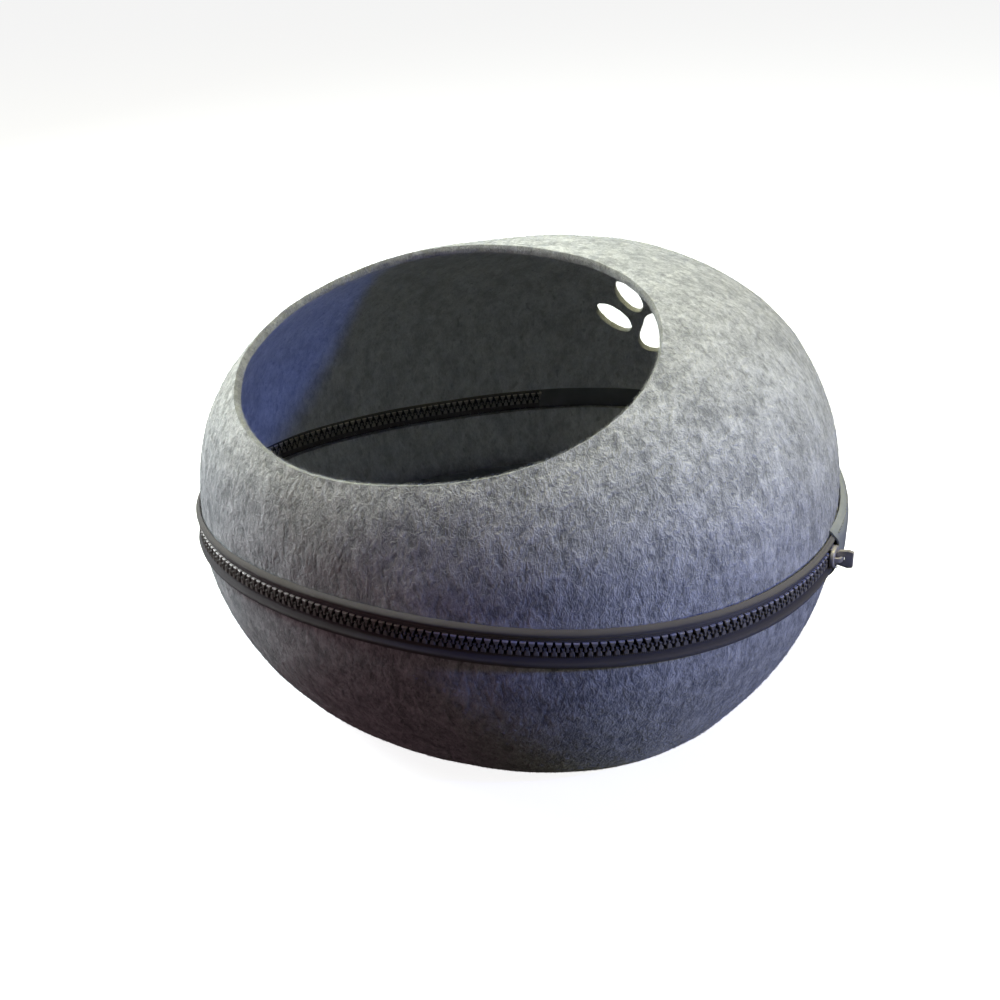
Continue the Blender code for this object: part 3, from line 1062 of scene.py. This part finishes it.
# the upper teeth get a painted highlight along their top edges, from 3.4 mm above the seam
TEETH_FINISH = moulded_finish("moulded_teeth", (0.22, 0.20, 0.18), (0.30, 0.275, 0.25),
                              (0.26, 0.42), highlight_above=SEAM_Z + 0.0034,
                              Specular_IOR_Level=0.5)
# the teeth's faces turned into the cave: the same plastic, duller and painted darker as shade
TEETH_BACK_PAINTED_SHADE = moulded_finish("moulded_teeth_inside_painted_shade", (0.075, 0.073, 0.072), (0.10, 0.097, 0.095),
                            (0.6, 0.75), Specular_IOR_Level=0.2)
METAL_FINISH = moulded_finish("lacquered_metal", (0.42, 0.385, 0.36), (0.60, 0.55, 0.51),
                              (0.34, 0.50), Metallic=0.15)
STRIP_FINISH = woven_finish("binding_cloth", (0.33, 0.34, 0.32), (0.43, 0.44, 0.40),
                            (0.55, 0.7), 0.35, 0.4)
CUSHION_FINISH = brushed_finish("brushed_cloth", (0.10, 0.105, 0.11), (0.20, 0.205, 0.21))
THREAD_FINISH = moulded_finish("sewing_thread", (0.30, 0.30, 0.29), (0.40, 0.40, 0.38),
                               (0.6, 0.8))
wear(zip_tape_upper, TAPE_UPPER_FINISH)
wear(zip_tape_lower, TAPE_LOWER_FINISH)
wear(hinge_strip, STRIP_FINISH, STRIP_INSIDE_PAINTED_SHADE)
# faces turned into the cave take the darker copy: painted shade on the strip's inner side
for face in hinge_strip.data.polygons:
    face.material_index = 1 if face.normal.dot(face.center - MIDDLE) < 0 else 0
print("materials:", len(bpy.data.materials))

# %% Two rows of teeth
CHAIN_AZ = (-145.0, 99.2)
# faces turned far enough into the cave get the duller, darker copy: painted shade
FACES_IN = 0.3                    # how squarely a face must look inwards to be dull


def tooth_row(name, piece, line, start, end):
    count = round((chain_length - PITCH / 2) / PITCH)
    step = (chain_length - PITCH / 2) / count * 0.9999
    row = grown(name, line, STEPS, Piece=piece, Step=step, Start=start, End=end,
                Wobble=0.012, Finish=TEETH_FINISH)
    smooth(row, 28).data.materials.append(TEETH_BACK_PAINTED_SHADE)
    for face in row.data.polygons:
        inwards = Vector((0, RING_Y, face.center.z)) - face.center
        if face.normal.dot(inwards.normalized()) > FACES_IN:
            face.material_index = 1
    return row


chain_line, chain_length = ring_line(0.0, 0.0, CHAIN_AZ)
spare_line = chain_line.copy()
teeth_upper = tooth_row("teeth_upper", tooth_down, chain_line, 0.0, chain_length - PITCH / 2)
teeth_lower = tooth_row("teeth_lower", tooth_up, spare_line, PITCH / 2, chain_length)
print("teeth:", len(teeth_upper.data.polygons) // len(tooth_down.data.polygons),
      "and", len(teeth_lower.data.polygons) // len(tooth_up.data.polygons))

# %% [markdown]
# ## Slider and pull
# The slider is a die casting: a plate outside, a plate inside, a post between
# them, and a bridge that holds the pull. I build it from rounded plates, each
# an outline with a bevel, and join them with a Boolean. It stands at the end
# of the chain, closed, with its pull pointing straight out.

# %% Slider
SLIDER_AZ = 100.3
SLIDER_PLATES = (
    # name, (half width, half height, corner), inner and outer face, shift, edge
    ("zip_slider_body", (0.0075, 0.0062, 0.0052), 0.0020, 0.0046, (0, 0, 0), 0.0009),
    ("back", (0.0070, 0.0060, 0.0024), -0.0046, -0.0029, (0, 0, 0), 0.0004),
    ("post", (0.00175, 0.0022, 0.0008), -0.0040, 0.0030, (0.00425, 0, 0), 0.0002),
    ("lip_top", (0.0040, 0.00085, 0.0004), 0.0013, 0.0032, (0, 0, 0.00525), 0.0002),
    ("lip_low", (0.0040, 0.00085, 0.0004), 0.0013, 0.0032, (0, 0, -0.00525), 0.0002),
)
BRIDGE_FOOT = 0.0040
BRIDGE = ((0.0056, 0.0052, range(13)), (0.0039, 0.0036, range(12, -1, -1)))
METAL_CRISP = 32


def slider_place():
    """X along the zip, Y outwards, Z up."""
    ahead = ring_point(0, 0, SLIDER_AZ + 1) - ring_point(0, 0, SLIDER_AZ - 1)
    along = ahead.normalized()
    up = Vector((0, 0, 1))
    place = Matrix((along, along.cross(up), up)).transposed().to_4x4()
    place.translation = ring_point(0, 0, SLIDER_AZ)
    return place


def plate(name, outline, low, high, axis, place, round_by):
    """A plate from an outline of two coordinates, thick along one axis."""
    def point(a, b, depth):
        spot = {"X": (depth, a, b), "Y": (a, depth, b), "Z": (a, b, depth)}[axis]
        return place @ Vector(spot)
    tool = tube([[point(a, b, depth) for a, b in outline] for depth in (low, high)])
    sharp = [e for e in tool.edges if e.calc_face_angle(0) > radians(35)]
    bmesh.ops.bevel(tool, geom=sharp, offset=round_by, segments=3, profile=0.6,
                    affect="EDGES")
    return add_object(name, mesh_of(tool, name))


def rounded(half_x, half_z, corner, count=4):
    """A rectangle with round corners, as (x, z) points."""
    points = []
    for k, (sx, sz) in enumerate(((1, 1), (-1, 1), (-1, -1), (1, -1))):
        for step in range(count + 1):
            a = pi / 2 * (k + step / count)
            points.append((sx * (half_x - corner) + corner * cos(a),
                           sz * (half_z - corner) + corner * sin(a)))
    return points


def slider(place):
    plates = [plate(name, rounded(*outline), low, high, "Y",
                    place @ Matrix.Translation(shift), round_by)
              for name, outline, low, high, shift, round_by in SLIDER_PLATES]
    arch = [(wide * cos(pi * k / 12), BRIDGE_FOOT + high * sin(pi * k / 12) ** 0.6)
            for wide, high, steps in BRIDGE for k in steps]
    plates.append(plate("bridge", arch, -0.0015, 0.0015, "Z", place, 0.0003))
    return smooth(combined(plates[0], plates[1:], "UNION"), METAL_CRISP)


zip_slider_body = slider(slider_place())
wear(zip_slider_body, METAL_FINISH)
print("slider faces:", len(zip_slider_body.data.polygons))

# %% Pull
PULL_LINE = ((0.0050, 0.0034), (0.0064, 0.0048), (0.0118, 0.0058), (0.0148, 0.0050))
PULL_HALF = 0.0014
WINDOW_AT, WINDOW = 0.0084, (0.0014, 0.0017, 0.0005)


def pull(place):
    outline = [(y, -z) for y, z in PULL_LINE] + [(y, z) for y, z in reversed(PULL_LINE)]
    item = plate("zip_pull_block", outline, -PULL_HALF, PULL_HALF, "X", place, 0.0005)
    window = plate("window", rounded(*WINDOW), -0.004, 0.004, "X",
                   place @ Matrix.Translation((0, WINDOW_AT, 0)), 0.0001)
    return smooth(combined(item, [window], "DIFFERENCE"), METAL_CRISP)


zip_pull_block = pull(slider_place())
wear(zip_pull_block, METAL_FINISH)
print("pull faces:", len(zip_pull_block.data.polygons))

# %% [markdown]
# ## Stitches
# The hinge strip is sewn down along both edges. One stitch is a short bent
# rod; the steps tree sets it along a line just inside each edge of the strip.

# %% Stitches on the hinge strip
STITCH_PATH = ((-0.0015, 0.0004, 0), (-0.0008, -0.0002, 0), (0.0008, -0.0002, 0),
               (0.0015, 0.0004, 0))
STITCH_R, STITCH_TAPER, STITCH_SIDES = 0.00032, 0.6, 5
STITCH_STEP = 0.0042
STITCHES_OUT, STITCHES_UP = 0.0035, 0.0121
STITCHES_SHORT = 0.8              # degrees that a row leaves free at each end of the strip


def rod(name, path, radius, sides, taper):
    """A thin closed tube along a few points, thinner at its ends."""
    path = [Vector(spot) for spot in path]
    rows = []
    for k, spot in enumerate(path):
        ahead = (path[min(k + 1, len(path) - 1)] - path[max(k - 1, 0)]).normalized()
        side = ahead.cross(Vector((0, 0, 1))).normalized()
        over = side.cross(ahead)
        r = radius * (taper if k in (0, len(path) - 1) else 1)
        rows.append([spot + side * r * cos(a) + over * r * sin(a) for a in turns(sides)])
    return smooth(hidden(name, tube(rows)))


stitch = rod("stitch", STITCH_PATH, STITCH_R, STITCH_SIDES, STITCH_TAPER)


def stitch_row(name, up):
    span = (PATCH_AZ[0] + STITCHES_SHORT, PATCH_AZ[1] - STITCHES_SHORT)
    line, length = ring_line(STITCHES_OUT, up, span)
    return smooth(grown(name, line, STEPS, Piece=stitch, Step=STITCH_STEP, Start=0.0,
                        End=length, Wobble=0.05, Finish=THREAD_FINISH))


stitches_top = stitch_row("stitches_top", STITCHES_UP)
stitches_low = stitch_row("stitches_low", -STITCHES_UP)
print("stitches:", len(stitches_top.data.polygons) // len(stitch.data.polygons), "a row")

# %% [markdown]
# ## Stray fibres
# Needle felt always sheds a fine fuzz: fibres lie on the skin, mostly up and
# down, and stand out where the felt is cut. Each is a thin closed sliver. A
# second tree scatters slivers over a skin, lays them along the surface with a
# random lean, and makes them of uneven length.

# %% A tree that scatters fibres on a skin
def fibres_tree():
    tree, entry = geometry_tree("fibres_on_skin", {
        "Skin": "Geometry", "Fibre": "Object", "Density": "Float", "Length": "Float",
        "Spread": "Float", "Rise": "Float", "Seed": "Int", "Finish": "Material"})

    def uneven(key, seed, low, high):
        """One of the tree's inputs times a random number for each fibre."""
        number = outlet(tree, "FunctionNodeRandomValue", (), {"Seed": seed, 2: low, 3: high}, 1)
        return math(tree, "MULTIPLY", number, entry[key])

    scatter = node(tree, "GeometryNodeDistributePointsOnFaces", (), {
        "Mesh": entry["Skin"], "Density": entry["Density"], "Seed": entry["Seed"]}).outputs
    stand = outlet(tree, "FunctionNodeAlignRotationToVector", {"axis": "Z"},
                   {"Vector": scatter["Normal"]})
    lay = outlet(tree, "FunctionNodeAlignRotationToVector", {"axis": "X", "pivot_axis": "Z"},
                 {"Vector": (0, 0, 1), "Rotation": stand})
    fibre = outlet(tree, "GeometryNodeObjectInfo", (), {"Object": entry["Fibre"]}, "Geometry")
    place = outlet(tree, "GeometryNodeInstanceOnPoints", (), {
        "Points": scatter["Points"], "Rotation": lay, "Instance": fibre,
        "Scale": uneven("Length", 11, 0.45, 1.35)})
    angles = outlet(tree, "ShaderNodeCombineXYZ", (), {
        "Y": uneven("Rise", 13, -1.0, 0.15), "Z": uneven("Spread", 12, -1.0, 1.0)})
    return handed_over(tree, entry, place, angles)


def sliver(name, bend, rise, thick):
    """One fibre of unit length, pointed at both ends; closed, six triangles."""
    tool = bmesh.new()
    ring = [tool.verts.new((0.5, bend + thick * cos(a), rise + thick * sin(a)))
            for a in turns(3)]
    ends = [tool.verts.new((0, 0, 0)), tool.verts.new((1, 0, 0))]
    for k in range(3):
        n = (k + 1) % 3
        tool.faces.new((ring[n], ring[k], ends[0]))
        tool.faces.new((ring[k], ring[n], ends[1]))
    return hidden(name, closed(tool))


FIBRES = fibres_tree()
lying_fibre = sliver("lying_fibre", 0.10, 0.05, 0.022)
standing_fibre = sliver("standing_fibre", 0.10, 0.10, 0.024)
print("tree:", FIBRES.name)

# %% Fuzz on the skins and on the cut edges
FUZZ_UPPER = felt_finish("fuzz_upper", (0.38, 0.385, 0.39), (0.80, 0.80, 0.79),
                         (0.3, 0.3, 0.3))
FUZZ_LOWER = felt_finish("fuzz_lower", (0.34, 0.345, 0.35), (0.74, 0.74, 0.73),
                         (0.3, 0.3, 0.3))
LYING = {"Fibre": lying_fibre, "Density": 150000.0, "Length": 0.0030, "Spread": 1.2,
         "Rise": 0.12}
STANDING = {"Fibre": standing_fibre, "Density": 1500000.0, "Length": 0.0022, "Spread": 3.1,
            "Rise": 0.8}
ABOVE_BASE, ABOVE_HEM = 0.004, 0.15           # fuzz grows only higher than this


def part_of(item, name, slot_number, above):
    """The faces of one finish above a height, as a mesh to scatter on."""
    tool = bmesh.new()
    tool.from_mesh(item.data)
    drop = [f for f in tool.faces
            if f.material_index != slot_number or f.calc_center_median().z <= above]
    bmesh.ops.delete(tool, geom=drop, context="FACES")
    mesh = mesh_of(tool, name)
    mesh.materials.clear()
    return mesh


def fuzz(name, item, slot_number, above, kind, seed, finish):
    skin = part_of(item, name, slot_number, above)
    return grown(name, skin, FIBRES, Seed=seed, Finish=finish, **kind)


fuzz_dome = fuzz("fuzz_dome", felt_dome, 0, 0.0, LYING, 1, FUZZ_UPPER)
fuzz_bowl = fuzz("fuzz_bowl", felt_bowl, 0, ABOVE_BASE, LYING, 2, FUZZ_LOWER)
fuzz_edges = fuzz("fuzz_edges", felt_dome, 1, ABOVE_HEM, STANDING, 3, FUZZ_UPPER)
for piece in (fuzz_dome, fuzz_bowl, fuzz_edges):
    print(piece.name, "triangles:", sum(len(p.vertices) - 2 for p in piece.data.polygons))

# %% [markdown]
# ## Cushion
# The cushion is a cloth bag with filling. It starts as a smaller copy of the
# shape that the bowl leaves free; a cloth simulation with air pressure swells
# it, and I cap how far each point may move, so that it fills its place and
# stays off the felt. A sewn seam draws its edge in.

# %% Cushion shape
PAD_GAP = 0.0007
PAD_RIM_ROW = 5
PAD_EDGE = ((0.998, 0.0048), (0.985, 0.0104), (0.962, 0.0140), (0.930, 0.0146))
PAD_DISH = 0.046
PAD_SWELL = 0.0028
PAD_LIFT = 0.0050
PAD_SHRINK = 0.0008
PAD_VOXEL = 0.0055
PAD_PRESSURE, PAD_FRAMES = 4.0, 20
PAD_CLEAR = 0.0004


def pad_rows():
    """The cushion's outline rows: up the bowl's inside, over the edge, to the middle."""
    line = bowl_line(9, 5)
    rows = [[bowl_point(r, d, a) for a in turns(SECTIONS)] for r, d in line]
    rows[-1] = [Vector((p.x, p.y, 0.0)) for p in rows[-1]]
    under = offset_rows(rows, FELT + PAD_GAP)
    under[-1] = [Vector((p.x, p.y, FELT + PAD_GAP)) for p in under[-1]]
    under = under[PAD_RIM_ROW:][::-1]
    edge = under[-1]
    middle = sum(edge, Vector()) / len(edge)
    top = [[middle + (p - middle) * s + Vector((0, 0, lift + PAD_LIFT)) for p in edge]
           for s, lift in PAD_EDGE]
    last_scale, last_lift = PAD_EDGE[-1]
    for k in range(1, 8):
        s = 1 - k / 8
        drop = PAD_DISH * (1 - s ** 2) ** 1.2
        height = Vector((0, 0, last_lift + PAD_LIFT - drop))
        top.append([middle + (p - middle) * last_scale * s + height for p in edge])
    return under, top


pad_under, pad_top = pad_rows()
print("cushion from %.0f to %.0f mm up" % (
    1000 * pad_under[0][0].z, 1000 * max(p.z for row in pad_top for p in row)))

# %% Swell the cushion
def surface_of(item):
    """An object's surface as it is now, for finding nearest points."""
    bpy.context.view_layer.update()
    return BVHTree.FromObject(item, bpy.context.evaluated_depsgraph_get())


def shrunk(item, by):
    """Move every point inwards along its normal."""
    item.data.update()
    normals = [v.normal.copy() for v in item.data.vertices]
    for v, normal in zip(item.data.vertices, normals):
        v.co -= normal * by
    return item


def remeshed(item, size):
    step = item.modifiers.new("voxels", "REMESH")
    step.mode = "VOXEL"
    step.voxel_size = size
    return settle(item)


def blown_up(item, pressure, frames, cap):
    """Cloth with air pressure and no gravity; no point moves further than cap."""
    start = [v.co.copy() for v in item.data.vertices]
    step = item.modifiers.new("cloth", "CLOTH")
    step.settings.use_pressure = True
    step.settings.uniform_pressure_force = pressure
    step.settings.effector_weights.gravity = 0.0
    step.settings.tension_stiffness = 8.0
    step.settings.quality = 5
    step.point_cache.frame_start, step.point_cache.frame_end = 1, frames
    for number in range(1, frames + 1):
        bpy.context.scene.frame_set(number)
    settle(item)
    bpy.context.scene.frame_set(1)
    for v, was in zip(item.data.vertices, start):
        move = v.co - was
        if move.length > cap:
            v.co = was + move * (cap / move.length)
    return item


def stay_inside(item, walls, gap):
    """Push points that came through the walls back inside them."""
    moved = 0
    for v in item.data.vertices:
        spot, normal = walls.find_nearest(v.co)[:2]
        depth = (spot - v.co).dot(normal)
        if depth < gap:
            v.co -= normal * (gap - depth)
            moved += 1
    return moved


cushion = loft("cushion", pad_under + pad_top, caps=(True, True))
room = surface_of(cushion)
shrunk(cushion, PAD_SHRINK)
remeshed(cushion, PAD_VOXEL)
blown_up(cushion, PAD_PRESSURE, PAD_FRAMES, PAD_SWELL)
print("cushion points kept inside:", stay_inside(cushion, room, PAD_CLEAR))

# %% Sewn edge of the cushion
SEAM_DEPTH = 0.0014
SEAM_WIDE = 0.0040


def sewn_seam(item, line):
    """Draw the cloth in along a closed line."""
    tree = KDTree(len(line))
    for k, spot in enumerate(line):
        tree.insert(spot, k)
    tree.balance()
    item.data.update()
    moves = []
    for v in item.data.vertices:
        distance = tree.find(v.co)[2]
        if distance < SEAM_WIDE:
            moves.append((v, v.normal * (SEAM_DEPTH * (1 - (distance / SEAM_WIDE) ** 2))))
    for v, move in moves:
        v.co -= move
    return len(moves)


smoother = cushion.modifiers.new("smoother", "SUBSURF")
smoother.levels = smoother.render_levels = 1
settle(cushion)
seam_line = []
for a, b in zip(pad_top[1], pad_top[1][1:] + pad_top[1][:1]):
    seam_line += [a.lerp(b, k / 3) for k in range(3)]
skin = surface_of(cushion)
seam_line = [skin.find_nearest(spot)[0] for spot in seam_line]
print("seam points:", sewn_seam(cushion, seam_line), "of", len(cushion.data.vertices))
wear(cushion, CUSHION_FINISH)
smooth(cushion)

# %% [markdown]
# ## Handing over
# Every piece rides on the root. The small source objects that the trees copied
# are taken away.

# %% Pieces on the root
for source in (tooth_down, tooth_up, stitch, lying_fibre, standing_fibre):
    bpy.data.objects.remove(source, do_unlink=True)

REPLACES = (
    (felt_dome, "shell_upper", "felt_upper"), (felt_bowl, "shell_lower", "felt_lower"),
    (zip_tape_upper, "tape_upper", "zip_tape"), (zip_tape_lower, "tape_lower", "zip_tape"),
    (teeth_upper, "zip_chain", "zip_teeth"), (zip_slider_body, "zip_slider", "zip_metal"),
    (zip_pull_block, "zip_pull", "zip_metal"), (hinge_strip, "hinge_patch", "hinge_cloth"),
    (cushion, "floor_pad", "cushion_cloth"),
)
ADDS = ((teeth_lower, "zip_teeth"), (stitches_top, "hinge_cloth"), (stitches_low, "hinge_cloth"),
        (fuzz_dome, "felt_upper"), (fuzz_bowl, "felt_lower"), (fuzz_edges, "felt_upper"))
for piece, solid, slot in REPLACES:
    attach(piece, "root")
    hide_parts(solid)
for piece, slot in ADDS:
    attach(piece, "root")
